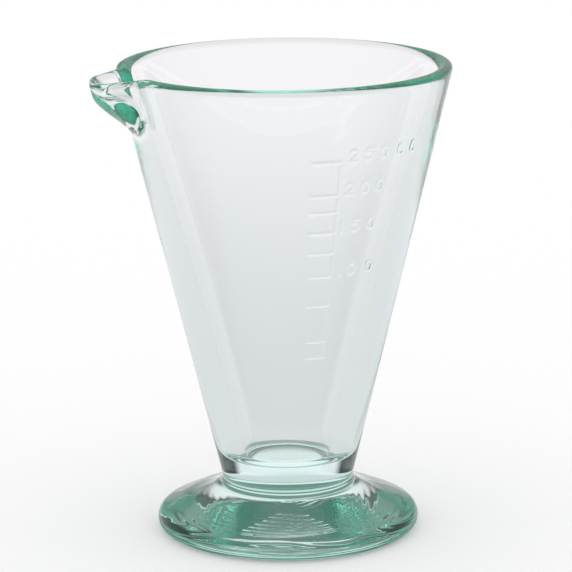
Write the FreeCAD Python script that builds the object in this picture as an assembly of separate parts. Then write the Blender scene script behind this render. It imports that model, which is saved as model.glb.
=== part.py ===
import FreeCAD, Part
import math
import os

# A conical pressed glass graduate of 250 cubic centimetres, in millimetres.
# The origin is the centre of the face it rests on, +Z is up, the pouring lip points towards -X,
# and the scale faces -Y. The graduate is one piece of glass: each node is one region of it.

# Outside of the cone
HEIGHT = 147.0
TOP_OUTER_RADIUS = 52.0
OUTER_SLOPE = 0.2427

# Hollow of the cone, whose floor radius is where the line of its wall meets its floor
FLOOR_HEIGHT = 23.5
FLOOR_RADIUS = 13.2
FLOOR_ROUND = 4.5
TOP_WALL = 4.8
LOWER_WALL_TOP = 58.0

# Foot and the fillet that carries the stem on it
FOOT_RADIUS = 40.9
FOOT_EDGE_RADIUS = 3.6
DOME_ANGLE = 23.0
DOME_APEX_HEIGHT = 14.9
STEM_FILLET = 3.5
STEM_BASE_HEIGHT = 15.2

# Rim
RIM_ROUND_HEIGHT = 2.1
RIM_BAND_HEIGHT = 6.0
RIM_ROUND_STEPS = 10

# Pouring lip: how far it stands out, over what angle each surface swells, and how deep it reaches
LIP_HALF_ANGLE = 26.0
LIP_BASE_DEPTH = 23.0
LIP_SECTIONS = 53
LIP_POINTS = 16
KEEL_REACH = 9.6
KEEL_ANGLES = (6.3, 15.4)
KEEL_DEPTHS = (7.0, 21.0)
CHANNEL_REACH = 10.3
CHANNEL_ANGLES = (3.5, 13.0)
CHANNEL_DEPTHS = (3.0, 13.0)
LIP_DIP = 2.6
LIP_DIP_ANGLES = (2.0, 22.0)

# Prow of the keel under the rim: how much its flanks fall away for each degree, and its round front
PROW_DEPTHS = (2.5, 8.0)
PROW_ANGLES = (8.5, 15.4)
PROW_FALL = 0.055
PROW_ROUND = 1.5

# Raised marks
RELIEF = 0.45
LINE_HEIGHTS = {
    250: 124.4, 200: 114.0, 175: 108.7, 150: 102.2, 125: 95.7, 100: 88.2, 75: 78.8, 50: 67.0, 40: 61.7,
}
LINE_WIDTH = 0.9
LINE_FIRST_ANGLE = -5.2
LINE_LAST_ANGLE = 5.6
UPRIGHT_WIDTH = 0.9
UPRIGHT_GAP = 0.3
UPRIGHT_ANGLE = 6.0
LETTER_HEIGHT = 4.2
LETTER_WIDTH = 3.0
LETTER_STROKE = 0.8
CEE_OPENING = 35.0
TWO_TURN = (165.0, -35.0)
FIVE_TURN = (125.0, -140.0)
FIVE_BOW = 1.25
FIVE_LEAN = 0.15
LETTER_CLEARANCE = 1.0

# Letters of each numbered line, with the angle of each letter from the middle of the scale
NUMERALS = {
    250: (("2", 10.7), ("5", 17.1), ("0", 23.9), ("C", 32.2), ("C", 39.4)),
    200: (("2", 10.3), ("0", 17.2), ("0", 24.1)),
    150: (("1", 8.7), ("5", 15.1), ("0", 22.6)),
    100: (("1", 9.9), ("0", 16.0), ("0", 25.3)),
}

TOP_INNER_RADIUS = TOP_OUTER_RADIUS - TOP_WALL
INNER_SLOPE = (TOP_INNER_RADIUS - FLOOR_RADIUS) / (HEIGHT - FLOOR_HEIGHT)
MEAN_SLOPE = (OUTER_SLOPE + INNER_SLOPE) / 2
BAND_BASE = HEIGHT - RIM_BAND_HEIGHT
LIP_BASE = HEIGHT - LIP_BASE_DEPTH
AXIS_START = FreeCAD.Vector(0, 0, 0)
AXIS_UP = FreeCAD.Vector(0, 0, 1)


def outer_radius(z):
    """Radius of the cone's outside at height z, away from the lip."""
    return TOP_OUTER_RADIUS - OUTER_SLOPE * (HEIGHT - z)


def inner_radius(z):
    """Radius of the hollow at height z, away from the lip."""
    return FLOOR_RADIUS + INNER_SLOPE * (z - FLOOR_HEIGHT)


def ease(value, limits):
    """1 before the first limit, 0 after the second, and a smooth fall between them."""
    share = min(max((value - limits[0]) / (limits[1] - limits[0]), 0.0), 1.0)
    return 1.0 - share * share * (3.0 - 2.0 * share)


def keel_share(angle, depth):
    """Share of the keel's reach at an angle and a depth: blunt at the rim, like a prow further down."""
    blunt = ease(angle, KEEL_ANGLES)
    flanks = 1.0 - PROW_FALL * (math.hypot(angle, PROW_ROUND) - PROW_ROUND)
    prow = flanks * ease(angle, PROW_ANGLES)
    bluntness = ease(depth, PROW_DEPTHS)
    return (blunt * bluntness + prow * (1.0 - bluntness)) * ease(depth, KEEL_DEPTHS)


def lip_outer(angle, z):
    """Radius of the outside at an angle from the lip's middle: the cone and the keel of the lip."""
    return outer_radius(z) + KEEL_REACH * keel_share(abs(angle), HEIGHT - z)


def lip_inner(angle, z):
    """Radius of the hollow at an angle from the lip's middle: the cone and the channel of the lip."""
    return inner_radius(z) + CHANNEL_REACH * ease(abs(angle), CHANNEL_ANGLES) * ease(HEIGHT - z, CHANNEL_DEPTHS)


def point(radius, z):
    """A point of a turned profile, in the XZ plane."""
    return FreeCAD.Vector(radius, 0, z)


def line(start, end):
    return Part.LineSegment(start, end).toShape()


def spline(points):
    curve = Part.BSplineCurve()
    curve.interpolate(points)
    return curve.toShape()


def turned(edges, first_angle=0.0, sweep=360.0):
    """Turn a closed profile about the axis, from an angle measured from +X."""
    face = Part.Face(Part.Wire(edges))
    face.rotate(AXIS_START, AXIS_UP, first_angle)
    return face.revolve(AXIS_START, AXIS_UP, sweep)


def corner_round(corner, leg_a, leg_b, radius):
    """Start, middle and end of the arc that rounds a corner between two unit directions."""
    half = math.acos(leg_a.dot(leg_b)) / 2
    reach = radius / math.tan(half)
    middle_line = (leg_a + leg_b).normalize()
    centre = corner + middle_line * (radius / math.sin(half))
    return corner + leg_a * reach, centre - middle_line * radius, corner + leg_b * reach


def direction(degrees):
    """Unit direction in the XZ plane at an angle above +X."""
    return FreeCAD.Vector(math.cos(math.radians(degrees)), 0, math.sin(math.radians(degrees)))


def stem_fillet():
    """Arc between the dome of the foot and the cone: dome side, middle, cone side."""
    corner = point(outer_radius(DOME_APEX_HEIGHT), DOME_APEX_HEIGHT)
    up_the_cone = direction(90.0 - math.degrees(math.atan(OUTER_SLOPE)))
    return corner_round(corner, direction(-DOME_ANGLE), up_the_cone, STEM_FILLET)


def foot_profile():
    """Half outline of the foot and stem, from the resting face out and up to the cone."""
    edge_centre = point(FOOT_RADIUS - FOOT_EDGE_RADIUS, FOOT_EDGE_RADIUS)
    under = point(edge_centre.x, 0)
    side = edge_centre + direction(0) * FOOT_EDGE_RADIUS
    dome_normal = 90.0 - DOME_ANGLE
    shoulder = edge_centre + direction(dome_normal) * FOOT_EDGE_RADIUS
    dome_end, fillet_middle, cone_start = stem_fillet()
    top = point(outer_radius(FLOOR_HEIGHT), FLOOR_HEIGHT)
    axis_top = point(0, FLOOR_HEIGHT)
    return [
        line(point(0, 0), under),
        Part.Arc(under, edge_centre + direction(-90.0 / 2) * FOOT_EDGE_RADIUS, side).toShape(),
        Part.Arc(side, edge_centre + direction(dome_normal / 2) * FOOT_EDGE_RADIUS, shoulder).toShape(),
        line(shoulder, dome_end),
        Part.Arc(dome_end, fillet_middle, cone_start).toShape(),
        line(cone_start, top),
        line(top, axis_top),
        line(axis_top, point(0, 0)),
    ]


def slab(z_low, z_high):
    """A wide disc that picks out the heights from z_low to z_high."""
    return Part.makeCylinder(2 * FOOT_RADIUS, z_high - z_low, FreeCAD.Vector(0, 0, z_low))


def foot():
    return turned(foot_profile()).common(slab(0, STEM_BASE_HEIGHT))


def stem():
    """The solid glass under the hollow; its flat top is the floor of the hollow."""
    return turned(foot_profile()).common(slab(STEM_BASE_HEIGHT, FLOOR_HEIGHT))


def floor_round():
    """Arc between the wall of the hollow and its floor: wall side, middle, floor side."""
    up_the_hollow = direction(90.0 - math.degrees(math.atan(INNER_SLOPE)))
    return corner_round(point(FLOOR_RADIUS, FLOOR_HEIGHT), up_the_hollow, direction(180.0), FLOOR_ROUND)


def wall_corners(z_low, z_high):
    """Corners of the wall's section between two heights: outside low and high, inside high and low."""
    return (point(outer_radius(z_low), z_low), point(outer_radius(z_high), z_high),
            point(inner_radius(z_high), z_high), point(inner_radius(z_low), z_low))


def wall_section(z_low, z_high):
    outer_low, outer_high, inner_high, inner_low = wall_corners(z_low, z_high)
    return [line(outer_low, outer_high), line(outer_high, inner_high), line(inner_high, inner_low),
            line(inner_low, outer_low)]


def bowl_lower_wall():
    """The lowest and thickest ring of the cone, whose inside ends in the round of the floor."""
    outer_low, outer_high, inner_high, _ = wall_corners(FLOOR_HEIGHT, LOWER_WALL_TOP)
    round_start, round_middle, round_end = floor_round()
    return turned([line(outer_low, outer_high), line(outer_high, inner_high), line(inner_high, round_start),
                   Part.Arc(round_start, round_middle, round_end).toShape(), line(round_end, outer_low)])


def bowl_middle_wall():
    """The whole ring of the cone up to the foot of the lip."""
    return turned(wall_section(LOWER_WALL_TOP, LIP_BASE))


def bowl_upper_wall():
    """The cone beside the lip, up to the rim band: a ring that is open at the lip."""
    return turned(wall_section(LIP_BASE, BAND_BASE), 180.0 + LIP_HALF_ANGLE, 360.0 - 2 * LIP_HALF_ANGLE)


def rim_round(outer, inner, spring_height):
    """Points of the fire-polished round from the outer wall over the top to the inner wall."""
    points = []
    for step in range(RIM_ROUND_STEPS + 1):
        turn = math.pi * step / RIM_ROUND_STEPS
        rise = RIM_ROUND_HEIGHT * math.sin(turn)
        radius = (outer + inner) / 2 + (outer - inner) / 2 * math.cos(turn) + MEAN_SLOPE * rise
        points.append(point(radius, spring_height + rise))
    return points


def rim_band():
    """The top of the wall with its rounded rim, open at the lip."""
    spring = HEIGHT - RIM_ROUND_HEIGHT
    arch = rim_round(outer_radius(spring), inner_radius(spring), spring)
    outer_low = point(outer_radius(BAND_BASE), BAND_BASE)
    inner_low = point(inner_radius(BAND_BASE), BAND_BASE)
    edges = [line(outer_low, arch[0]), spline(arch), line(arch[-1], inner_low), line(inner_low, outer_low)]
    return turned(edges, 180.0 + LIP_HALF_ANGLE, 360.0 - 2 * LIP_HALF_ANGLE)


def lip_section(angle):
    """Closed outline of the wall in the upright plane at an angle from the lip's middle."""
    spring = HEIGHT - RIM_ROUND_HEIGHT - LIP_DIP * ease(abs(angle), LIP_DIP_ANGLES)
    heights = [LIP_BASE + (spring - LIP_BASE) * step / LIP_POINTS for step in range(LIP_POINTS + 1)]
    outside = [point(lip_outer(angle, z), z) for z in heights]
    inside = [point(lip_inner(angle, z), z) for z in reversed(heights)]
    arch = rim_round(outside[-1].x, inside[0].x, spring)
    wire = Part.Wire([spline(outside), spline(arch), spline(inside), line(inside[-1], outside[0])])
    wire.rotate(AXIS_START, AXIS_UP, 180.0 + angle)
    return wire


def pouring_lip():
    """The lip: the wall's section carried round the lip's sector while keel and channel swell out of it."""
    step = 2 * LIP_HALF_ANGLE / (LIP_SECTIONS - 1)
    sections = [lip_section(-LIP_HALF_ANGLE + step * index) for index in range(LIP_SECTIONS)]
    return Part.makeLoft(sections, True, False)


def relief_profile(z_low, z_high):
    """Section of a raised mark that lies on the cone from z_low to z_high."""
    low = point(outer_radius(z_low), z_low)
    high = point(outer_radius(z_high), z_high)
    raised_high = point(outer_radius(z_high) + RELIEF, z_high)
    raised_low = point(outer_radius(z_low) + RELIEF, z_low)
    return [line(low, raised_low), line(raised_low, raised_high), line(raised_high, high), line(high, low)]


def raised_band(z_low, z_high, first_angle, last_angle):
    """A raised mark on the cone between two angles from the middle of the scale, which faces -Y."""
    return turned(relief_profile(z_low, z_high), first_angle - 90.0, last_angle - first_angle)


def graduation_line(millilitres):
    middle = LINE_HEIGHTS[millilitres]
    return raised_band(middle - LINE_WIDTH / 2, middle + LINE_WIDTH / 2, LINE_FIRST_ANGLE, LINE_LAST_ANGLE)


def scale_upright():
    """The upright line past the right-hand ends of the lines: one stroke between each pair of lines."""
    strokes = []
    heights = list(LINE_HEIGHTS.values())
    for upper, lower in zip(heights, heights[1:]):
        z_high = upper - LINE_WIDTH / 2 - UPRIGHT_GAP
        z_low = lower + LINE_WIDTH / 2 + UPRIGHT_GAP
        half = math.degrees(UPRIGHT_WIDTH / 2 / outer_radius((z_low + z_high) / 2))
        strokes.append(raised_band(z_low, z_high, UPRIGHT_ANGLE - 2 * half, UPRIGHT_ANGLE))
    return Part.makeCompound(strokes)


def arc(centre, radius, first, last):
    """An arc of a letter's centre line, in the XY plane, from one angle to another in degrees."""
    def at(degrees):
        turn = math.radians(degrees)
        return FreeCAD.Vector(centre[0] + radius * math.cos(turn), centre[1] + radius * math.sin(turn), 0)
    return Part.Arc(at(first), at((first + last) / 2), at(last)).toShape()


def run(*corners):
    """Straight centre lines of a letter through corners, in the XY plane."""
    points = [FreeCAD.Vector(x, y, 0) for x, y in corners]
    return [line(start, end) for start, end in zip(points, points[1:])]


def end_of(edge, last=True):
    vertex = edge.valueAt(edge.LastParameter if last else edge.FirstParameter)
    return vertex.x, vertex.y


def letter_lines(letter):
    """Centre line of one letter or figure, standing on Y = 0 and centred on X = 0."""
    half = LETTER_STROKE / 2
    side = LETTER_WIDTH / 2 - half
    low = half
    top = LETTER_HEIGHT - half
    if letter == "0":
        upper = arc((0, top - side), side, 0, 180)
        lower = arc((0, low + side), side, 180, 360)
        left_side = run(end_of(upper), end_of(lower, False))
        right_side = run(end_of(lower), end_of(upper, False))
        return [upper, *left_side, lower, *right_side]
    if letter == "C":
        upper = arc((0, top - side), side, CEE_OPENING, 180)
        lower = arc((0, low + side), side, 180, 360 - CEE_OPENING)
        return [upper, *run(end_of(upper), end_of(lower, False)), lower]
    if letter == "2":
        bow = arc((0, top - side), side, *TWO_TURN)
        return [bow, *run(end_of(bow), (-side, low), (side, low))]
    bow = arc((-FIVE_LEAN, low + FIVE_BOW), FIVE_BOW, *FIVE_TURN)
    return [*run((side, top), (FIVE_LEAN - side, top), end_of(bow, False)), bow]


def letter_face(letter):
    """The flat shape of one letter: its centre line given the width of the stroke."""
    half = LETTER_STROKE / 2
    if letter == "1":
        cap = arc((0, LETTER_HEIGHT - half), half, 0, 180)
        heel = arc((0, half), half, 180, 360)
        sides = [*run(end_of(cap), end_of(heel, False)), *run(end_of(heel), end_of(cap, False))]
        return Part.Face(Part.Wire([cap, sides[0], heel, sides[1]]))
    centre_line = Part.Wire(letter_lines(letter))
    if centre_line.isClosed():
        return Part.Face(centre_line.makeOffset2D(half)).cut(Part.Face(centre_line.makeOffset2D(-half)))
    return Part.Face(centre_line.makeOffset2D(half, 0, False, False, True))


def raised_letter(letter, base_height, angle):
    """One letter raised on the cone, upright, at an angle from the middle of the scale."""
    prism = letter_face(letter).extrude(FreeCAD.Vector(0, 0, 2 * RELIEF + LETTER_HEIGHT))
    upright = FreeCAD.Placement(FreeCAD.Vector(0, 0, 0), FreeCAD.Rotation(FreeCAD.Vector(1, 0, 0), 90))
    prism.transformShape(upright.toMatrix())
    near_wall = outer_radius(base_height) - LETTER_HEIGHT / 2
    prism.translate(FreeCAD.Vector(0, -near_wall, base_height))
    prism.rotate(AXIS_START, AXIS_UP, angle)
    skin_low = base_height - LETTER_CLEARANCE
    skin_high = base_height + LETTER_HEIGHT + LETTER_CLEARANCE
    return prism.common(turned(relief_profile(skin_low, skin_high)))


def numeral(millilitres):
    """The letters of one line, standing level with it on the right of the upright."""
    base_height = LINE_HEIGHTS[millilitres] - LINE_WIDTH / 2
    letters = [raised_letter(letter, base_height, angle) for letter, angle in NUMERALS[millilitres]]
    return Part.makeCompound(letters)


def numeral_name(millilitres):
    letters = [letter for letter, _ in NUMERALS[millilitres]]
    return f"numeral_{millilitres}_cc" if "C" in letters else f"numeral_{millilitres}"


def save(name, shape):
    shape.exportStep(f"parts/{name}.step")
    print(name, "valid" if shape.isValid() else "NOT VALID", len(shape.Solids), "solids",
          round(shape.Volume, 1), "mm3")


def main():
    os.makedirs("parts", exist_ok=True)
    save("foot", foot())
    save("stem", stem())
    save("bowl_lower_wall", bowl_lower_wall())
    save("bowl_middle_wall", bowl_middle_wall())
    save("bowl_upper_wall", bowl_upper_wall())
    save("rim_band", rim_band())
    save("pouring_lip", pouring_lip())
    save("scale_upright", scale_upright())
    for millilitres in LINE_HEIGHTS:
        save(f"graduation_line_{millilitres}", graduation_line(millilitres))
    for millilitres in NUMERALS:
        save(numeral_name(millilitres), numeral(millilitres))


main()
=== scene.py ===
"""A conical pressed-glass graduate of 250 cubic centimetres, and the studio it stands in.

The classes hold sizes in millimetres and angles in degrees, and the meshes are in metres. The origin
is the centre of the face that the graduate rests on, +Z is up, the pouring lip points towards -X and
the scale faces -Y. The real thing is one piece of glass, so one closed mesh stands for all its regions.
"""

import logging
import math
from dataclasses import dataclass
from enum import Enum
from typing import Callable, NamedTuple

import bpy
import numpy as np
from mathutils import Matrix, Vector


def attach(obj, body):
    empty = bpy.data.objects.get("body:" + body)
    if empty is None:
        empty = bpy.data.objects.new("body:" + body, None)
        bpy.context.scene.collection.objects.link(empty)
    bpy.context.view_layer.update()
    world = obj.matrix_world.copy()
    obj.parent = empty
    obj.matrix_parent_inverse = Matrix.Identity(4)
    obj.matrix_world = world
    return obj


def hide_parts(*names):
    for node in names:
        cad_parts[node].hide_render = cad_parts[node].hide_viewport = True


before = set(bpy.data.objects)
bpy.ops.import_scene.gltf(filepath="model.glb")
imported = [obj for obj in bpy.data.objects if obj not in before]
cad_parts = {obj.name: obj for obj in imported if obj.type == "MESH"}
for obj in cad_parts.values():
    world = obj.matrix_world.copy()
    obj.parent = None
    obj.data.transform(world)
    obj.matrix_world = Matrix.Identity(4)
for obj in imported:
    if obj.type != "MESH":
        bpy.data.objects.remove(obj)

LOG = logging.getLogger("graduate")
MM = 0.001
WHITE = "#ffffff"
QUAD = 4

# A Mix node has a set of sockets for each kind of data. These are the numbers of the colour ones.
MIX_SHARE = 0
MIX_FROM = 6
MIX_TO = 7
MIX_RESULT = 2

# One number, or an array with one number for each place on the glass.
Amount = float | np.ndarray
# Radius from the axis, and height above the table.
Place = tuple[Amount, Amount]
# Millimetres across and up on the wall of the cone.
Point = tuple[float, float]
# Red, green, blue and alpha in linear light.
Colour = tuple[float, float, float, float]


def ease(value: Amount, first: float, last: float) -> Amount:
    """Fall smoothly from 1 to 0.

    Args:
        value: What the fall depends on.
        first: The value up to which the result is 1.
        last: The value from which the result is 0.

    Returns:
        The share that is left, between 0 and 1.
    """
    share = np.clip((value - first) / (last - first), 0.0, 1.0)
    return 1.0 - share * share * (3.0 - 2.0 * share)


def turned_from(azimuth: Amount, direction: float) -> Amount:
    """Degrees from a direction to an azimuth, between -180 and 180; both are counted from +X towards +Y."""
    return (azimuth - direction + 180.0) % 360.0 - 180.0


def linear(hex_colour: str) -> Colour:
    """Turn an sRGB hex colour to linear light.

    Args:
        hex_colour: Six hex digits after a hash sign.

    Returns:
        Red, green, blue and an alpha of 1.
    """
    shares = [int(hex_colour[i:i + 2], 16) / 255 for i in (1, 3, 5)]
    red, green, blue = (s / 12.92 if s <= 0.04045 else ((s + 0.055) / 1.055) ** 2.4 for s in shares)
    return red, green, blue, 1.0


def node(tree: bpy.types.NodeTree, kind: str, links: dict[str | int, object] | None = None,
         **settings: object) -> bpy.types.Node:
    """Add a node with its settings and links.

    Args:
        tree: The node tree to add to.
        kind: The node's type.
        links: For each input, an output socket to link from or a value to set.
        settings: Properties of the node itself.

    Returns:
        The node.
    """
    made = tree.nodes.new(kind)
    for name, value in settings.items():
        setattr(made, name, value)
    for name, value in (links or {}).items():
        if isinstance(value, bpy.types.NodeSocket):
            tree.links.new(value, made.inputs[name])
        else:
            made.inputs[name].default_value = value
    return made


def bare_tree(owner: bpy.types.Material | bpy.types.World) -> bpy.types.NodeTree:
    """Give a new material or world a node tree with nothing in it.

    Args:
        owner: The material or world.

    Returns:
        Its node tree.
    """
    owner.use_nodes = True
    owner.node_tree.nodes.clear()
    return owner.node_tree


class Band(NamedTuple):
    """A tone that takes over smoothly where some value goes from its start to its end."""

    tone: str
    start: float
    end: float


def graded(tree: bpy.types.NodeTree, ground: str,
           bands: list[tuple[bpy.types.NodeSocket, Band]]) -> bpy.types.NodeSocket:
    """Lay tones one over the other, each where its own value has passed into its band.

    Args:
        tree: The node tree to add to.
        ground: Hex colour below all the tones.
        bands: The tones from the lowest to the topmost, each with the value that it depends on.

    Returns:
        The graded colour.
    """
    colour = linear(ground)
    for value, band in bands:
        limits = {"Value": value, "From Min": band.start, "From Max": band.end}
        share = node(tree, "ShaderNodeMapRange", limits, interpolation_type="SMOOTHSTEP").outputs["Result"]
        tones = {MIX_SHARE: share, MIX_FROM: colour, MIX_TO: linear(band.tone)}
        colour = node(tree, "ShaderNodeMix", tones, data_type="RGBA").outputs[MIX_RESULT]
    return colour


@dataclass(frozen=True)
class PressedGlass:
    """Soda-lime glass, pressed in a mould and fire-polished."""

    name: str = "pressed_soda_lime_glass"
    # The flame melts the skin smooth, so the eye sees sharp highlights and a clear view through a wall.
    index: float = 1.52
    roughness: float = 0.0
    # Iron in the glass takes much red, a little blue and hardly any green from light on its way inside,
    # so a wall looks clear and the rim, the lip and the foot look green. The density is per metre.
    tint: str = "#27f2db"
    density: float = 6.4

    def material(self) -> bpy.types.Material:
        """Make the material.

        Returns:
            The material, with a surface that bends light and a volume that takes some of it.
        """
        made = bpy.data.materials.new(self.name)
        tree = bare_tree(made)
        surface = node(tree, "ShaderNodeBsdfPrincipled", {
            "Base Color": linear(WHITE), "Roughness": self.roughness, "IOR": self.index,
            "Transmission Weight": 1.0})
        inside = node(tree, "ShaderNodeVolumeAbsorption", {
            "Color": linear(self.tint), "Density": self.density})
        node(tree, "ShaderNodeOutputMaterial", {
            "Surface": surface.outputs["BSDF"], "Volume": inside.outputs["Volume"]})
        return made


@dataclass(frozen=True)
class MattPaper:
    """White uncoated paper, pressed from pulp, that the graduate stands on; seen through the glass it shows
    painted light and shade.
    """

    name: str = "matt_white_paper"
    # Its fibres scatter light evenly, so the eye sees the same white from every side, without gloss.
    colour: str = WHITE
    # Through the glass it is not lit but glows with painted tones: a painted white glow under the foot, a
    # painted green-grey shadow in a ring round it, and painted shade that pales with distance. That gives the
    # edge of the foot its depth and the thin walls their faint grey.
    glow_under_foot: str = WHITE
    bands: tuple[Band, ...] = (
        # A painted shadow ring round the foot, then painted shade that pales with distance.
        Band("#7c938a", 22.0, 30.0),
        Band("#e6e1e4", 40.0, 50.0),
        Band("#fffafe", 110.0, 650.0),
    )

    def material(self) -> bpy.types.Material:
        """Make the material.

        Returns:
            The material: plain paper to the camera and to the light, and a glow of painted light and shade
                through the glass.
        """
        made = bpy.data.materials.new(self.name)
        tree = bare_tree(made)
        place = node(tree, "ShaderNodeNewGeometry").outputs["Position"]
        distance = node(tree, "ShaderNodeVectorMath", {0: place}, operation="LENGTH").outputs["Value"]
        bands = [(distance, Band(band.tone, band.start * MM, band.end * MM)) for band in self.bands]
        # Painted light: rays through or off the glass see this glow instead of the lit paper. It is a painted
        # white under the foot, a painted shadow ring round it and painted shade by distance.
        painted_glow = node(tree, "ShaderNodeEmission", {"Color": graded(tree, self.glow_under_foot, bands)})
        sheet = node(tree, "ShaderNodeBsdfDiffuse", {"Color": linear(self.colour)})
        path = node(tree, "ShaderNodeLightPath").outputs
        rays = {0: path["Is Transmission Ray"], 1: path["Is Glossy Ray"]}
        by_glass = node(tree, "ShaderNodeMath", rays, operation="MAXIMUM").outputs["Value"]
        both = node(tree, "ShaderNodeMixShader", {
            0: by_glass, 1: sheet.outputs["BSDF"], 2: painted_glow.outputs["Emission"]})
        node(tree, "ShaderNodeOutputMaterial", {"Surface": both.outputs["Shader"]})
        return made


@dataclass(frozen=True)
class Undulation:
    """Smooth random swells of a pressed surface, the same in every run."""

    seed: int
    across: int
    along: int

    def at(self, azimuth: np.ndarray, share: np.ndarray) -> np.ndarray:
        """Read the swells.

        Args:
            azimuth: Degrees round the axis, where the swells close on themselves.
            share: Place along the surface, from 0 to 1.

        Returns:
            Heights between -1 and 1.
        """
        # The last knots lie past the end of the surface, where the ones before them need a neighbour.
        knots = np.random.RandomState(self.seed).uniform(-1.0, 1.0, (self.across, self.along + 1))
        place = (azimuth / 360.0 % 1.0) * self.across
        column = np.floor(place).astype(int) % self.across
        after = (column + 1) % self.across
        sideways = self.eased(place - np.floor(place))
        row_place = np.clip(share, 0.0, 1.0) * (self.along - 1)
        row = np.minimum(np.floor(row_place).astype(int), self.along - 1)
        upwards = self.eased(row_place - row)
        low = knots[column, row] * (1 - sideways) + knots[after, row] * sideways
        high = knots[column, row + 1] * (1 - sideways) + knots[after, row + 1] * sideways
        return low * (1 - upwards) + high * upwards

    def share_at(self, azimuth: np.ndarray, share: np.ndarray) -> np.ndarray:
        """Read the swells as shares between 0 and 1."""
        return 0.5 + 0.5 * self.at(azimuth, share)

    @staticmethod
    def eased(share: np.ndarray) -> np.ndarray:
        """Ease a share at both of its ends, up to the second derivative."""
        return share ** 3 * (share * (share * 6.0 - 15.0) + 10.0)


@dataclass(frozen=True)
class Bowl:
    """The cone and the hollow in it, which narrows faster, so the wall is thickest at the bottom."""

    height: float = 147.0
    top_radius: float = 52.0
    outer_slope: float = 0.2427
    floor_height: float = 23.5
    floor_radius: float = 13.2
    floor_round: float = 4.5
    top_wall: float = 4.8
    rim_round: float = 2.1

    @property
    def inner_slope(self) -> float:
        """How much the hollow widens for each millimetre of height."""
        return (self.top_radius - self.top_wall - self.floor_radius) / (self.height - self.floor_height)

    @property
    def inner_lean(self) -> float:
        """Angle of the hollow's wall from upright, in radians."""
        return math.atan(self.inner_slope)

    @property
    def round_top(self) -> float:
        """Height at which the round of the floor meets the wall of the hollow."""
        return self.floor_height + self.floor_round * (1 - math.sin(self.inner_lean))

    @property
    def flat_radius(self) -> float:
        """Radius of the flat middle of the floor."""
        return self.inner_radius(self.round_top) - self.floor_round * math.cos(self.inner_lean)

    def outer_radius(self, z: Amount) -> Amount:
        """Radius of the outside at height z, away from the lip."""
        return self.top_radius - self.outer_slope * (self.height - z)

    def inner_radius(self, z: Amount) -> Amount:
        """Radius of the hollow at height z, away from the lip."""
        return self.floor_radius + self.inner_slope * (z - self.floor_height)


@dataclass(frozen=True)
class PouringLip:
    """The lip pinched out of the rim: a keel on the outside and a channel on the inside.

    Each pair of angles from its direction, or of depths below the rim, is where a fall begins and ends.
    The half angle and the base depth bound the part of the wall that the lip takes up.
    """

    direction: float = 180.0
    keel_reach: float = 9.6
    keel_angles: tuple[float, float] = (6.3, 15.4)
    keel_depths: tuple[float, float] = (7.0, 21.0)
    prow_depths: tuple[float, float] = (2.5, 8.0)
    prow_angles: tuple[float, float] = (8.5, 15.4)
    prow_fall: float = 0.055
    prow_round: float = 1.5
    channel_reach: float = 10.3
    channel_angles: tuple[float, float] = (3.5, 13.0)
    channel_depths: tuple[float, float] = (3.0, 13.0)
    dip: float = 2.6
    dip_angles: tuple[float, float] = (2.0, 22.0)
    half_angle: float = 26.0
    base_depth: float = 23.0

    def keel(self, azimuth: np.ndarray, depth: np.ndarray) -> np.ndarray:
        """Find how far the outside stands out: blunt at the rim, and like a prow further down.

        Args:
            azimuth: Degrees from +X.
            depth: Millimetres below the top of the rim.

        Returns:
            What the keel adds to the radius of the cone.
        """
        angle = np.abs(turned_from(azimuth, self.direction))
        blunt = ease(angle, *self.keel_angles)
        sides = self.prow_fall * (np.hypot(angle, self.prow_round) - self.prow_round)
        prow = (1 - sides) * ease(angle, *self.prow_angles)
        bluntness = ease(depth, *self.prow_depths)
        shape = blunt * bluntness + prow * (1 - bluntness)
        return self.keel_reach * shape * ease(depth, *self.keel_depths)

    def channel(self, azimuth: np.ndarray, depth: np.ndarray) -> np.ndarray:
        """How far the inside is pushed out, at an azimuth and a depth below the top of the rim."""
        angle = np.abs(turned_from(azimuth, self.direction))
        return self.channel_reach * ease(angle, *self.channel_angles) * ease(depth, *self.channel_depths)

    def drop(self, azimuth: np.ndarray) -> np.ndarray:
        """How far the rim sinks towards the tip of the lip."""
        return self.dip * ease(np.abs(turned_from(azimuth, self.direction)), *self.dip_angles)


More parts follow.
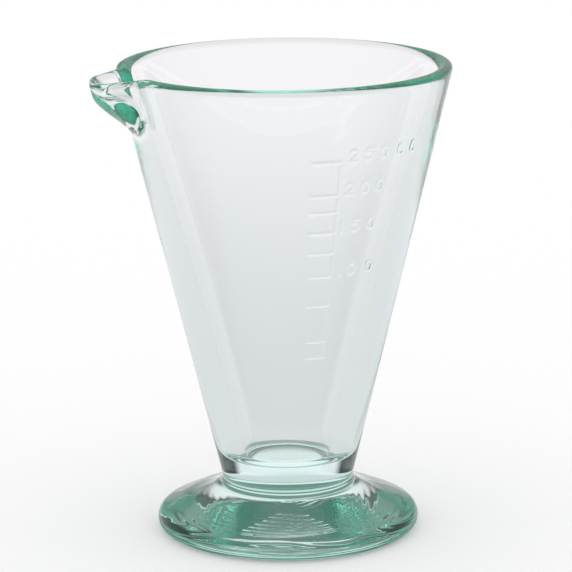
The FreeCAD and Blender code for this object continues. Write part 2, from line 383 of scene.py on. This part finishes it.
@dataclass(frozen=True)
class Foot:
    """The domed foot, from the face it rests on to the fillet that carries the stem."""

    bowl: Bowl
    radius: float = 40.9
    edge_radius: float = 3.6
    dome_angle: float = 23.0
    apex_height: float = 14.9
    fillet_radius: float = 3.5

    @property
    def rest_radius(self) -> float:
        """Radius of the flat underside."""
        return self.radius - self.edge_radius

    def edge(self, share: Amount) -> Place:
        """Radius and height along the round edge, from the underside to the dome."""
        angle = np.radians(-90.0 + share * (180.0 - self.dome_angle))
        return self.rest_radius + self.edge_radius * np.cos(angle), self.edge_radius * (1 + np.sin(angle))

    def fillet_arc(self) -> tuple[np.ndarray, float, float]:
        """Fit the fillet into the corner between the dome and the cone.

        Returns:
            Its centre, and the angles in radians at which it leaves the dome and meets the cone.
        """
        corner = np.array([self.bowl.outer_radius(self.apex_height), self.apex_height])
        down = math.radians(-self.dome_angle)
        up = math.pi / 2 - math.atan(self.bowl.outer_slope)
        half = (up - down) / 2
        middle = (up + down) / 2
        outwards = np.array([math.cos(middle), math.sin(middle)])
        centre = corner + outwards * self.fillet_radius / math.sin(half)
        return centre, down - math.pi / 2, up + math.pi / 2 - 2 * math.pi

    def fillet(self, share: Amount) -> Place:
        """Follow the fillet.

        Args:
            share: Place along it, from 0 at the dome to 1 at the cone.

        Returns:
            The radius and the height there.
        """
        centre, first, last = self.fillet_arc()
        angle = first + (last - first) * share
        return centre[0] + self.fillet_radius * np.cos(angle), centre[1] + self.fillet_radius * np.sin(angle)

    def dome(self, share: Amount) -> Place:
        """Follow the slope of the dome.

        Args:
            share: Place along it, from 0 at the round edge to 1 at the fillet.

        Returns:
            The radius and the height there.
        """
        start = self.edge(1.0)
        end = self.fillet(0.0)
        return start[0] + (end[0] - start[0]) * share, start[1] + (end[1] - start[1]) * share


class Stroke(NamedTuple):
    """One straight stroke of a raised mark: two ends, and half the width of the mark at each."""

    start: Point
    end: Point
    start_half: float
    end_half: float

    def reach(self) -> float:
        """How far the stroke goes from the anchor of its mark."""
        return max(math.hypot(*self.start), math.hypot(*self.end)) + max(self.start_half, self.end_half)

    def offset(self, across: np.ndarray, up: np.ndarray) -> np.ndarray:
        """Find the distance from the stroke's centre line.

        Args:
            across: Millimetres across from the anchor of the mark.
            up: Millimetres up from the anchor of the mark.

        Returns:
            The distance as a share of the stroke's half width, so 1 is the edge of the stroke.
        """
        run = np.subtract(self.end, self.start)
        along = (across - self.start[0]) * run[0] + (up - self.start[1]) * run[1]
        share = np.clip(along / float(run @ run), 0.0, 1.0)
        away = np.hypot(across - self.start[0] - share * run[0], up - self.start[1] - share * run[1])
        return away / (self.start_half + (self.end_half - self.start_half) * share)


@dataclass(frozen=True)
class Mark:
    """A raised mark on the cone, drawn from strokes round an anchor at an angle and a height."""

    angle: float
    base: float
    relief: float
    strokes: tuple[Stroke, ...]

    def offset(self, across: np.ndarray, up: np.ndarray) -> np.ndarray:
        """Distance from the nearest stroke, as a share of its half width."""
        return np.min([stroke.offset(across, up) for stroke in self.strokes], axis=0)

    def reach(self) -> float:
        """How far the mark goes from its anchor."""
        return max(stroke.reach() for stroke in self.strokes)


class Letter(Enum):
    """The figures and letters of the scale; each value is the character itself."""

    ZERO = "0"
    ONE = "1"
    TWO = "2"
    FIVE = "5"
    CEE = "C"


@dataclass(frozen=True)
class Lettering:
    """How the figures are cut: their size, stroke and curves."""

    height: float = 4.2
    width: float = 3.0
    stroke_half: float = 0.62
    arc_steps: int = 8
    five_bow: float = 1.25
    five_lean: float = 0.15
    cee_opening: float = 35.0
    two_turn: tuple[float, float] = (165.0, -35.0)
    five_turn: tuple[float, float] = (125.0, -140.0)
    line_inset: float = 0.4

    def arc(self, centre: Point, radius: float, first: float, last: float) -> list[Point]:
        """Points of an arc from one angle to another, in degrees."""
        turns = np.radians(np.linspace(first, last, self.arc_steps + 1))
        return [(centre[0] + radius * math.cos(t), centre[1] + radius * math.sin(t)) for t in turns]

    def centre_line(self, letter: Letter) -> list[Point]:
        """Draw a figure's centre line, standing on height 0 and centred across.

        Args:
            letter: The figure or letter to draw.

        Returns:
            Its points in order.
        """
        side = self.width / 2 - self.line_inset
        low = self.line_inset
        top = self.height - self.line_inset
        upper = (0.0, top - side)
        lower = (0.0, low + side)
        if letter is Letter.ONE:
            return [(0.0, low), (0.0, top)]
        if letter is Letter.ZERO:
            points = self.arc(upper, side, 0, 180) + self.arc(lower, side, 180, 360)
            return points + points[:1]
        if letter is Letter.CEE:
            return (self.arc(upper, side, self.cee_opening, 180)
                    + self.arc(lower, side, 180, 360 - self.cee_opening))
        if letter is Letter.TWO:
            return self.arc(upper, side, *self.two_turn) + [(-side, low), (side, low)]
        bow = self.arc((-self.five_lean, low + self.five_bow), self.five_bow, *self.five_turn)
        return [(side, top), (self.five_lean - side, top)] + bow

    def strokes(self, letter: Letter) -> tuple[Stroke, ...]:
        """Make the strokes of a figure.

        Args:
            letter: The figure or letter.

        Returns:
            Its strokes, one between each two points of its centre line.
        """
        points = self.centre_line(letter)
        half = self.stroke_half
        return tuple(Stroke(start, end, half, half) for start, end in zip(points, points[1:]))


class Graduation(NamedTuple):
    """One line of the scale: the cubic centimetres it stands for, and its height."""

    volume: int
    height: float


class Caption(NamedTuple):
    """What is written beside one line of the scale: its characters, and the angle at which each stands."""

    volume: int
    text: str
    angles: tuple[float, ...]


@dataclass(frozen=True)
class RaisedScale:
    """The scale on the front wall: nine lines, the upright past their right-hand ends, and the figures."""

    bowl: Bowl
    lettering: Lettering = Lettering()
    direction: float = -90.0
    graduations: tuple[Graduation, ...] = (
        Graduation(250, 124.4), Graduation(200, 114.0), Graduation(175, 108.7),
        Graduation(150, 102.2), Graduation(125, 95.7), Graduation(100, 88.2),
        Graduation(75, 78.8), Graduation(50, 67.0), Graduation(40, 61.7),
    )
    captions: tuple[Caption, ...] = (
        Caption(250, "250CC", (10.7, 17.1, 23.9, 32.2, 39.4)),
        Caption(200, "200", (10.3, 17.2, 24.1)),
        Caption(150, "150", (8.7, 15.1, 22.6)),
        Caption(100, "100", (9.9, 16.0, 25.3)),
    )
    line_angles: tuple[float, float] = (-5.2, 5.3)
    line_half: float = 0.62
    top_line_half: float = 0.85
    line_tip: float = 0.25
    line_taper: float = 1.6
    line_relief: float = 0.30
    upright_angle: float = 5.7
    upright_half: float = 0.5
    upright_relief: float = 0.28
    upright_gap: float = 1.4
    # The letters stand out less with every degree to the right, as they do on the real piece.
    letter_relief: float = 0.33
    relief_fade: float = 0.0165

    def marks(self) -> list[Mark]:
        """Every raised mark of the scale."""
        return self.lines() + self.uprights() + self.figures()

    def lines(self) -> list[Mark]:
        """Make the graduation lines.

        Returns:
            A mark for each line, tapered towards a point at its left-hand end.
        """
        made = []
        for number, line in enumerate(self.graduations):
            half = self.line_half if number else self.top_line_half
            radius = self.bowl.outer_radius(line.height)
            left, right = (math.radians(angle) * radius for angle in self.line_angles)
            full = (left + self.line_taper, 0.0)
            strokes = (Stroke((left, 0.0), full, self.line_tip, half), Stroke(full, (right, 0.0), half, half))
            made.append(Mark(0.0, line.height, self.line_relief, strokes))
        return made

    def uprights(self) -> list[Mark]:
        """Make the pieces of the upright line.

        Returns:
            A mark for each piece, which hangs a little under one line and ends on the next.
        """
        made = []
        half = self.upright_half
        for upper, lower in zip(self.graduations, self.graduations[1:]):
            top = (0.0, upper.height - self.upright_gap - lower.height)
            stroke = Stroke((0.0, 0.0), top, half, half)
            made.append(Mark(self.upright_angle, lower.height, self.upright_relief, (stroke,)))
        return made

    def figures(self) -> list[Mark]:
        """Make the figures of the numbered lines.

        Returns:
            A mark for each figure, which stands level with its line.
        """
        made = []
        heights = dict(self.graduations)
        for caption in self.captions:
            base = heights[caption.volume] - self.lettering.line_inset
            for character, angle in zip(caption.text, caption.angles):
                relief = self.letter_relief * (1.0 - self.relief_fade * angle)
                made.append(Mark(angle, base, relief, self.lettering.strokes(Letter(character))))
        return made

    def relief(self, azimuth: np.ndarray, z: np.ndarray, margin: float) -> tuple[np.ndarray, np.ndarray]:
        """Find how far the marks stand out of the wall, and which places lie on or near one.

        Args:
            azimuth: Degrees from +X.
            z: Heights on the outside of the cone.
            margin: Millimetres from a mark's edge within which a place is near it.

        Returns:
            The height of the relief, and a truth value for each place.
        """
        angle = turned_from(azimuth, self.direction)
        radius = self.bowl.outer_radius(z)
        height = np.zeros(z.shape)
        near = np.zeros(z.shape, bool)
        for mark in self.marks():
            across = np.radians(angle - mark.angle) * radius
            up = z - mark.base
            reach = mark.reach() + margin
            picked = np.flatnonzero((np.abs(across) < reach) & (np.abs(up) < reach))
            if not picked.size:
                continue
            offset = mark.offset(across[picked], up[picked])
            height[picked] = np.maximum(height[picked], mark.relief * ease(offset, 0.0, 1.0))
            half = max(stroke.end_half for stroke in mark.strokes)
            near[picked] |= (offset - 1.0) * half < margin
        return height, near


@dataclass(frozen=True)
class ChillMarks:
    """The fine rings that a cold press plate leaves in the underside of the foot.

    Their pitch and depth are real sizes, estimated from the ripples that show through the foot. They are
    deepest within the rough half angle of the rough side, and fade out at the calm half angle from it.
    """

    rest_radius: float
    pitch: float = 2.4
    depth: float = 0.20
    strengths: Undulation = Undulation(seed=5, across=7, along=6)
    wander: float = 1.5
    wandering: Undulation = Undulation(seed=3, across=9, along=8)
    unevenness: float = 0.15
    dents: Undulation = Undulation(seed=31, across=10, along=5)
    calm_centre: float = 3.0
    calm_edge: float = 3.0
    rough_side: float = -105.0
    rough_half: float = 30.0
    calm_half: float = 120.0

    def height(self, azimuth: np.ndarray, radius: np.ndarray) -> np.ndarray:
        """Find how far the underside is lifted off the plane it rests on.

        Args:
            azimuth: Degrees from +X.
            radius: Millimetres from the axis.

        Returns:
            The height of the glass there, 0 at the centre and at the edge.
        """
        share = radius / self.rest_radius
        wander = self.wandering.at(azimuth, share) * self.wander
        strength = self.strengths.share_at(azimuth, share)
        rings = 0.5 - 0.5 * np.cos(2 * math.pi * (radius + wander) / self.pitch)
        side = ease(np.abs(turned_from(azimuth, self.rough_side)), self.rough_half, self.calm_half)
        uneven = self.unevenness * self.dents.share_at(azimuth, share)
        inside = ease(radius, self.rest_radius - self.calm_edge, self.rest_radius)
        outside = 1.0 - ease(radius, 0.0, self.calm_centre)
        return (self.depth * strength * side * rings + uneven) * inside * outside


class Stretch(NamedTuple):
    """One stretch of the outline, from which the skin takes some of its rows.

    A stretch that is marked carries the scale, and a tight one turns so fast that all its cells are halved.
    """

    rows: int
    place: Callable[[np.ndarray, np.ndarray], Place]
    marked: bool = False
    tight: bool = False


class Detail(Enum):
    """How finely the skin is divided, as the side of a cell in lattice steps."""

    PLAIN = 8
    FAIR = 4
    CLOSE = 2
    FINEST = 1


class Cell(NamedTuple):
    """A square cell of the lattice: its first column and row, and its side in lattice steps."""

    column: int
    row: int
    side: int

    def corners(self) -> tuple[tuple[int, int], ...]:
        """Column and row of each corner."""
        after, above = self.column + self.side, self.row + self.side
        return (self.column, self.row), (after, self.row), (after, above), (self.column, above)

    def outline(self) -> list[tuple[int, int]]:
        """List the lattice points along the four sides, in order round the cell.

        Returns:
            Column and row of each point.
        """
        steps = range(self.side)
        after, above = self.column + self.side, self.row + self.side
        return ([(self.column + s, self.row) for s in steps] + [(after, self.row + s) for s in steps]
                + [(after - s, above) for s in steps] + [(self.column, above - s) for s in steps])


@dataclass(frozen=True)
class GlassBody:
    """The whole graduate as one closed skin, laid out on a lattice of columns and rows.

    The swells of the wall and of the hollow settle over a share of their stretch, so that each meets
    its plain neighbour without a step. The mark margin is how far round a mark the largest cells are cut.
    """

    bowl: Bowl
    lip: PouringLip
    foot: Foot
    scale: RaisedScale
    chill: ChillMarks
    finish: PressedGlass = PressedGlass()
    name: str = "graduate_glass"
    columns: int = 216
    mark_margin: float = 0.95
    wall_swell: float = 0.06
    wall_swells: Undulation = Undulation(seed=11, across=12, along=5)
    wall_settles: tuple[float, float] = (0.0, 0.06)
    hollow_swell: float = 0.10
    hollow_swells: Undulation = Undulation(seed=17, across=10, along=4)
    hollow_settles: tuple[float, float] = (0.94, 1.0)
    dome_swell: float = 0.25
    dome_swells: Undulation = Undulation(seed=29, across=13, along=3)

    @property
    def stretches(self) -> tuple[Stretch, ...]:
        """List the stretches of the outline.

        Returns:
            The stretches in order, from the centre of the underside to that of the hollow's floor.
        """
        return (
            Stretch(rows=84, place=self.underside),
            Stretch(rows=14, place=self.edge),
            Stretch(rows=24, place=self.dome),
            Stretch(rows=8, place=self.fillet),
            Stretch(rows=66, place=self.outside, marked=True),
            Stretch(rows=16, place=self.rim, tight=True),
            Stretch(rows=48, place=self.hollow),
            Stretch(rows=14, place=self.corner),
            Stretch(rows=4, place=self.floor),
        )

    @property
    def first_rows(self) -> np.ndarray:
        """The row at which each stretch begins, and the row at which the last one ends."""
        return np.cumsum([0] + [stretch.rows for stretch in self.stretches])

    def underside(self, azimuth: np.ndarray, share: np.ndarray) -> Place:
        """The face it rests on, with the marks of the press plate."""
        radius = self.foot.rest_radius * share
        return radius, self.chill.height(azimuth, radius)

    def edge(self, azimuth: np.ndarray, share: np.ndarray) -> Place:
        """The round edge of the foot."""
        return self.foot.edge(share)

    def dome(self, azimuth: np.ndarray, share: np.ndarray) -> Place:
        """Follow the slope of the foot, with the slight swells that the press leaves.

        Args:
            azimuth: Degrees from +X.
            share: Place along the stretch, from 0 to 1.

        Returns:
            The radius and the height there.
        """
        radius, height = self.foot.dome(share)
        swell = self.dome_swell * self.dome_swells.at(azimuth, share)
        return radius, height + swell * np.sin(math.pi * share) ** 2

    def fillet(self, azimuth: np.ndarray, share: np.ndarray) -> Place:
        """The fillet that carries the stem."""
        return self.foot.fillet(share)

    def spring(self, azimuth: np.ndarray) -> np.ndarray:
        """Height at which the round of the rim begins."""
        return self.bowl.height - self.bowl.rim_round - self.lip.drop(azimuth)

    def outside_radius(self, azimuth: np.ndarray, z: np.ndarray) -> np.ndarray:
        """Radius of the outside with the keel of the lip and a slight swell."""
        swell = self.wall_swell * self.wall_swells.at(azimuth, z / self.bowl.height)
        return self.bowl.outer_radius(z) + self.lip.keel(azimuth, self.bowl.height - z) + swell

    def inside_radius(self, azimuth: np.ndarray, z: np.ndarray) -> np.ndarray:
        """Radius of the hollow with the channel of the lip and a slight swell."""
        swell = self.hollow_swell * self.hollow_swells.at(azimuth, z / self.bowl.height)
        return self.bowl.inner_radius(z) + self.lip.channel(azimuth, self.bowl.height - z) + swell

    def outside(self, azimuth: np.ndarray, share: np.ndarray) -> Place:
        """Follow the outside of the cone, with the scale raised on it.

        Args:
            azimuth: Degrees from +X.
            share: Place along the stretch, from 0 to 1.

        Returns:
            The radius and the height there.
        """
        start = self.foot.fillet(1.0)[1]
        z = start + (self.spring(azimuth) - start) * share
        relief, _ = self.scale.relief(azimuth, z, margin=0.0)
        settled = 1.0 - ease(share, *self.wall_settles)
        plain = self.bowl.outer_radius(z)
        return plain + (self.outside_radius(azimuth, z) - plain) * settled + relief, z

    def rim(self, azimuth: np.ndarray, share: np.ndarray) -> Place:
        """Follow the fire-polished round from the outside over the top to the hollow.

        Args:
            azimuth: Degrees from +X.
            share: Place along the stretch, from 0 to 1.

        Returns:
            The radius and the height there.
        """
        spring = self.spring(azimuth)
        outer = self.outside_radius(azimuth, spring)
        inner = self.inside_radius(azimuth, spring)
        rise = self.bowl.rim_round * np.sin(math.pi * share)
        lean = (self.bowl.outer_slope + self.bowl.inner_slope) / 2 * rise
        return (outer + inner) / 2 + (outer - inner) / 2 * np.cos(math.pi * share) + lean, spring + rise

    def hollow(self, azimuth: np.ndarray, share: np.ndarray) -> Place:
        """Follow the wall of the hollow, from the rim down to the round of its floor.

        Args:
            azimuth: Degrees from +X.
            share: Place along the stretch, from 0 to 1.

        Returns:
            The radius and the height there.
        """
        spring = self.spring(azimuth)
        z = spring + (self.bowl.round_top - spring) * share
        settled = ease(share, *self.hollow_settles)
        plain = self.bowl.inner_radius(z)
        return plain + (self.inside_radius(azimuth, z) - plain) * settled, z

    def corner(self, azimuth: np.ndarray, share: np.ndarray) -> Place:
        """Follow the round between the wall of the hollow and its floor.

        Args:
            azimuth: Degrees from +X; not used.
            share: Place along the stretch, from 0 to 1.

        Returns:
            The radius and the height there.
        """
        size = self.bowl.floor_round
        angle = self.bowl.inner_lean + share * (math.pi / 2 - self.bowl.inner_lean)
        height = self.bowl.floor_height + size * (1 - np.sin(angle))
        return self.bowl.flat_radius + size * np.cos(angle), height

    def floor(self, azimuth: np.ndarray, share: np.ndarray) -> Place:
        """The flat middle of the hollow's floor, in to its centre."""
        return self.bowl.flat_radius * (1 - share), np.full(share.shape, self.bowl.floor_height)

    def profile(self, azimuth: np.ndarray, row: np.ndarray) -> tuple[np.ndarray, np.ndarray]:
        """Find places on the skin.

        Args:
            azimuth: Degrees from +X.
            row: Place along the outline, counted in rows.

        Returns:
            The radius and the height of each place.
        """
        radius = np.zeros(row.shape)
        height = np.zeros(row.shape)
        index = np.searchsorted(self.first_rows[1:-1], row, side="right")
        for number, (stretch, first) in enumerate(zip(self.stretches, self.first_rows)):
            picked = index == number
            if picked.any():
                share = (row[picked] - first) / stretch.rows
                radius[picked], height[picked] = stretch.place(azimuth[picked], share)
        return radius, height

    def wants_parts(self, column: np.ndarray, row: np.ndarray, side: int) -> np.ndarray:
        """Tell which cells hold detail that asks for smaller cells.

        Args:
            column: First lattice column of each cell.
            row: First lattice row of each cell.
            side: Side of the cells in lattice steps.

        Returns:
            A truth value for each cell.
        """
        step = Detail.PLAIN.value
        azimuth = (column + side / 2) * 360.0 / (self.columns * step)
        place = (row + side / 2) / step
        index = np.searchsorted(self.first_rows[1:-1], place, side="right")
        wants = np.zeros(column.shape, bool)
        wall = np.flatnonzero(np.array([stretch.marked for stretch in self.stretches])[index])
        if wall.size:
            _, z = self.profile(azimuth[wall], place[wall])
            _, wants[wall] = self.scale.relief(azimuth[wall], z, self.mark_margin * side / step)
        if side == step:
            angle = np.abs(turned_from(azimuth, self.lip.direction))
            _, z = self.profile(azimuth, place)
            wants |= (angle < self.lip.half_angle) & (z > self.bowl.height - self.lip.base_depth)
            wants |= np.array([stretch.tight for stretch in self.stretches])[index]
        return wants

    def cells(self) -> list[Cell]:
        """Divide the lattice into cells, smaller where the glass has detail.

        Returns:
            The cells, which cover the lattice without a gap.
        """
        step = Detail.PLAIN.value
        column, row = np.meshgrid(np.arange(self.columns) * step, np.arange(self.first_rows[-1]) * step)
        column, row = column.ravel(), row.ravel()
        found = []
        for side in (Detail.PLAIN.value, Detail.FAIR.value, Detail.CLOSE.value):
            wants = self.wants_parts(column, row, side)
            found += [Cell(c, r, side) for c, r in zip(column[~wants].tolist(), row[~wants].tolist())]
            half = side // 2
            column, row = column[wants], row[wants]
            column = np.concatenate([column, column + half, column, column + half])
            row = np.concatenate([row, row, row + half, row + half])
        return found + [Cell(c, r, Detail.FINEST.value) for c, r in zip(column.tolist(), row.tolist())]

    def skin(self) -> tuple[np.ndarray, list[tuple[int, ...]]]:
        """Lay the vertices and faces of the closed skin.

        Returns:
            The vertices in metres, and the faces as tuples of their numbers.
        """
        step = Detail.PLAIN.value
        width = self.columns * step
        last = int(self.first_rows[-1]) * step
        cells = self.cells()
        used = {(column % width, row) for cell in cells for column, row in cell.corners()}
        numbers: dict[tuple[float, float], int] = {}
        faces: list[tuple[int, ...]] = []

        def number(column: float, row: float) -> int:
            """Number of the vertex at a lattice point; all the points of an end row share one."""
            key = (0, row) if row in (0, last) else (column % width, row)
            return numbers.setdefault(key, len(numbers))

        for cell in cells:
            loop = [number(c, r) for c, r in cell.outline() if (c % width, r) in used]
            loop = [corner for i, corner in enumerate(loop) if corner != loop[i - 1]]
            if len(loop) <= QUAD:
                faces.append(tuple(loop))
                continue
            middle = number(cell.column + cell.side / 2, cell.row + cell.side / 2)
            faces += [(loop[i - 1], loop[i], middle) for i in range(len(loop))]
        keys = np.array(list(numbers), float)
        azimuth = keys[:, 0] * 360.0 / width
        radius, height = self.profile(azimuth, keys[:, 1] / step)
        turn = np.radians(azimuth)
        points = np.stack([radius * np.cos(turn), radius * np.sin(turn), height], axis=1)
        return points * MM, faces

    def build(self) -> bpy.types.Object:
        """Make the mesh and dress it.

        Returns:
            The finished piece.
        """
        points, faces = self.skin()
        mesh = bpy.data.meshes.new(self.name)
        mesh.from_pydata(points.tolist(), [], faces)
        mesh.validate()
        mesh.shade_smooth()
        mesh.materials.append(self.finish.material())
        glass = bpy.data.objects.new(self.name, mesh)
        bpy.context.scene.collection.objects.link(glass)
        LOG.info("%s: %d vertices, %d faces", self.name, len(mesh.vertices), len(mesh.polygons))
        return glass


@dataclass(frozen=True)
class Room:
    """What surrounds the graduate: plain white light, and what the glass shows of a photographer's room.

    Matt things are lit evenly from all round at a strength of 1, and the camera sees white. Only rays
    that came through the glass or off it meet the rest: a white backdrop straight behind, a dark card
    on either side, which draws the dark edges of clear glass, a dim ceiling and the room in front.
    The bands of the front and the backdrop go by the cosine of the level angle from the backdrop's
    middle, and the ceiling's by the sine of the height looked at.
    """

    name: str = "white_tent_with_cards"
    backdrop_azimuth: float = 75.0
    card: str = "#08301f"
    front: Band = Band("#46917c", 0.1, -0.3)
    backdrop: Band = Band(WHITE, 0.76, 0.86)
    ceiling: Band = Band("#868c88", 0.35, 0.62)
    # Through the glass the room is a touch pink, so that a thin wall in front of it looks grey, not green.
    pale: str = "#fdf2f8"
    # Mirrored off the glass, the room is this grey, under a white ceiling.
    mirrored: str = "#c4c4c4"

    def world(self) -> bpy.types.World:
        """Make the world.

        Returns:
            The world, with its nodes.
        """
        made = bpy.data.worlds.new(self.name)
        tree = bare_tree(made)
        looked_at = node(tree, "ShaderNodeTexCoord").outputs["Generated"]
        x, y, upward = node(tree, "ShaderNodeSeparateXYZ", {0: looked_at}).outputs
        flat = node(tree, "ShaderNodeCombineXYZ", {"X": x, "Y": y}).outputs["Vector"]
        level = node(tree, "ShaderNodeVectorMath", {0: flat}, operation="NORMALIZE").outputs["Vector"]
        turn = math.radians(self.backdrop_azimuth)
        middle = (math.cos(turn), math.sin(turn), 0.0)
        toward = node(tree, "ShaderNodeVectorMath", {0: level, 1: middle}, operation="DOT_PRODUCT")
        along = toward.outputs["Value"]
        bands = [(along, self.front), (along, self.backdrop), (upward, self.ceiling)]
        tints = {0: graded(tree, self.card, bands), 1: linear(self.pale)[:3]}
        through = node(tree, "ShaderNodeVectorMath", tints, operation="MULTIPLY").outputs["Vector"]
        mirrored = graded(tree, self.mirrored, [(upward, self.ceiling._replace(tone=WHITE))])
        path = node(tree, "ShaderNodeLightPath").outputs
        bounces = {0: path["Diffuse Depth"], 1: 0.0}
        after_paper = node(tree, "ShaderNodeMath", bounces, operation="GREATER_THAN").outputs["Value"]
        seen = linear(WHITE)
        # A ray through smooth glass counts as a glossy one too, so the transmitted rays come second.
        for share, colour in ((path["Is Glossy Ray"], mirrored), (path["Is Transmission Ray"], through),
                              (after_paper, linear(WHITE))):
            colours = {MIX_SHARE: share, MIX_FROM: seen, MIX_TO: colour}
            seen = node(tree, "ShaderNodeMix", colours, data_type="RGBA").outputs[MIX_RESULT]
        light = node(tree, "ShaderNodeBackground", {"Color": seen, "Strength": 1.0})
        node(tree, "ShaderNodeOutputWorld", {"Surface": light.outputs["Background"]})
        return made


@dataclass(frozen=True)
class Studio:
    """The paper under the graduate, the room round it, and the camera."""

    paper: MattPaper = MattPaper()
    room: Room = Room()
    floor_name: str = "studio_floor"
    floor_half: float = 6000.0
    floor_gap: float = 0.1
    bounces: int = 64
    matt_bounces: int = 16
    camera_azimuth: float = -15.0
    camera_distance: float = 955.5
    camera_height: float = 303.7
    pitch: float = -13.35
    roll: float = -0.56
    focal_pixels: float = 3164.0
    image_pixels: float = 572.0
    sensor_width: float = 36.0

    def lay_paper(self) -> None:
        """Lay the paper, a hair's breadth below the glass so that the two faces don't share a plane."""
        half = self.floor_half * MM
        low = -self.floor_gap * MM
        mesh = bpy.data.meshes.new(self.floor_name)
        corners = [(-half, -half, low), (half, -half, low), (half, half, low), (-half, half, low)]
        mesh.from_pydata(corners, [], [(0, 1, 2, 3)])
        mesh.materials.append(self.paper.material())
        floor = bpy.data.objects.new(self.floor_name, mesh)
        bpy.context.scene.collection.objects.link(floor)
        LOG.info("%s: %.1f m square", self.floor_name, 2 * half)

    def place_camera(self) -> None:
        """Set up the camera where the photograph was taken from."""
        data = bpy.data.cameras.new("camera")
        data.sensor_width = self.sensor_width
        data.lens = self.focal_pixels / self.image_pixels * self.sensor_width
        camera = bpy.data.objects.new("camera", data)
        bpy.context.scene.collection.objects.link(camera)
        turn = math.radians(self.camera_azimuth)
        away = Vector((math.sin(turn), -math.cos(turn), 0.0))
        pitch = math.radians(self.pitch)
        forward = -away * math.cos(pitch) + Vector((0.0, 0.0, math.sin(pitch)))
        right = forward.cross(Vector((0.0, 0.0, 1.0))).normalized()
        up = right.cross(forward)
        roll = math.radians(self.roll)
        rolled_right = right * math.cos(roll) + up * math.sin(roll)
        rolled_up = up * math.cos(roll) - right * math.sin(roll)
        axes = Matrix((rolled_right, rolled_up, -forward)).transposed().to_4x4()
        place = away * self.camera_distance * MM + Vector((0.0, 0.0, self.camera_height * MM))
        camera.matrix_world = Matrix.Translation(place) @ axes
        bpy.context.scene.camera = camera
        LOG.info("camera: a lens of %.0f mm", data.lens)

    def set_up(self) -> None:
        """Build the studio and set how the picture is shown."""
        self.place_camera()
        self.lay_paper()
        scene = bpy.context.scene
        scene.world = self.room.world()
        scene.view_settings.view_transform = "Standard"
        scene.cycles.max_bounces = self.bounces
        scene.cycles.glossy_bounces = self.bounces
        scene.cycles.transmission_bounces = self.bounces
        scene.cycles.diffuse_bounces = self.matt_bounces
        LOG.info("room: %s", self.room.name)


def main() -> None:
    """Build the graduate and its studio, and report each piece."""
    logging.basicConfig(level=logging.INFO)
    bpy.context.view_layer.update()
    bowl = Bowl()
    foot = Foot(bowl)
    body = GlassBody(bowl, PouringLip(), foot, RaisedScale(bowl), ChillMarks(foot.rest_radius))
    glass = body.build()
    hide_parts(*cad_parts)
    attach(glass, "root")
    Studio().set_up()


if __name__ == "__main__":
    main()
